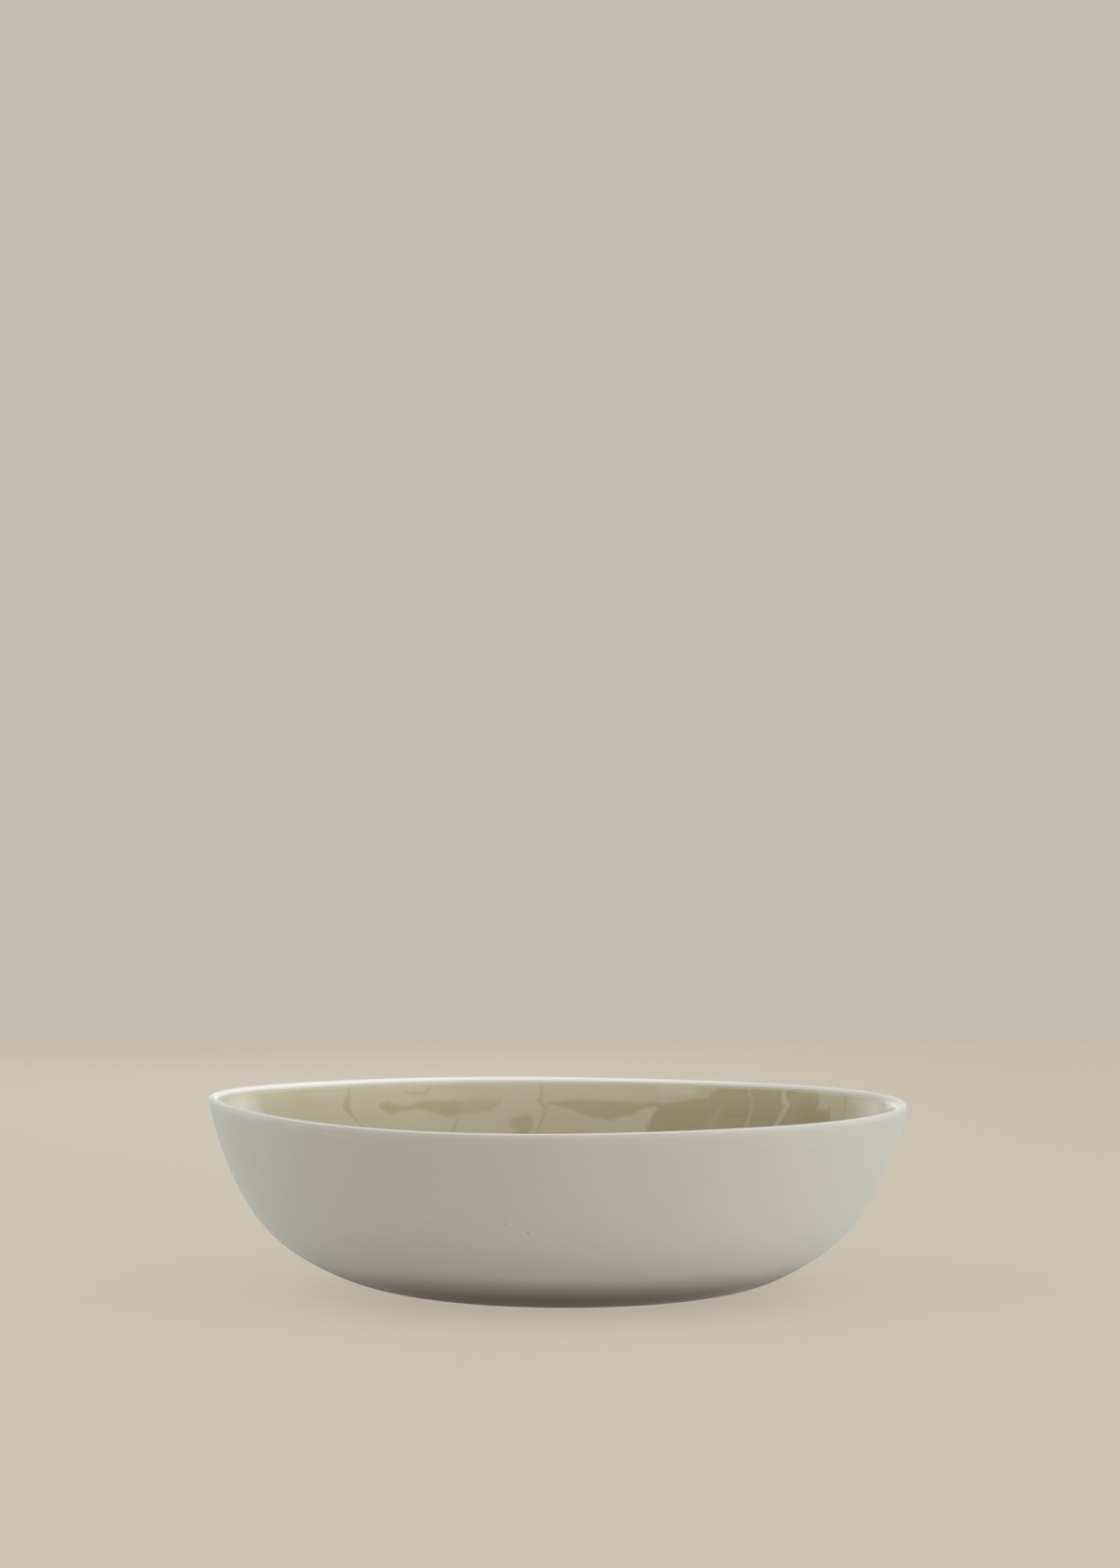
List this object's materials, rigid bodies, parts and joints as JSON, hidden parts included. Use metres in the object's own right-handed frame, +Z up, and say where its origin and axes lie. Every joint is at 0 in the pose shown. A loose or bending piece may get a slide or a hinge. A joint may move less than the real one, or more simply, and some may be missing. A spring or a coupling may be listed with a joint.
{
  "type": "serving bowl",
  "caption": "Low round bowl with a rounded wall, a thin slightly wavy lip, a matte clay outside, a glossy glazed inside and a small turned foot.",
  "frame": {"origin": "on the table, under the middle of the lip", "axes": "+Z up out of the bowl's mouth, -Y towards the front of the picture, +X to its right"},
  "size_m": [0.22, 0.22, 0.0621],
  "materials": {
    "clay": "matte tinted stoneware with fine grain and sparse specks",
    "glaze": "glossy olive glaze, darker where it ran thick"
  },
  "bodies": {
    "root": {"clay_body": "clay", "inner_glaze": "glaze"}
  },
  "joints": []
}
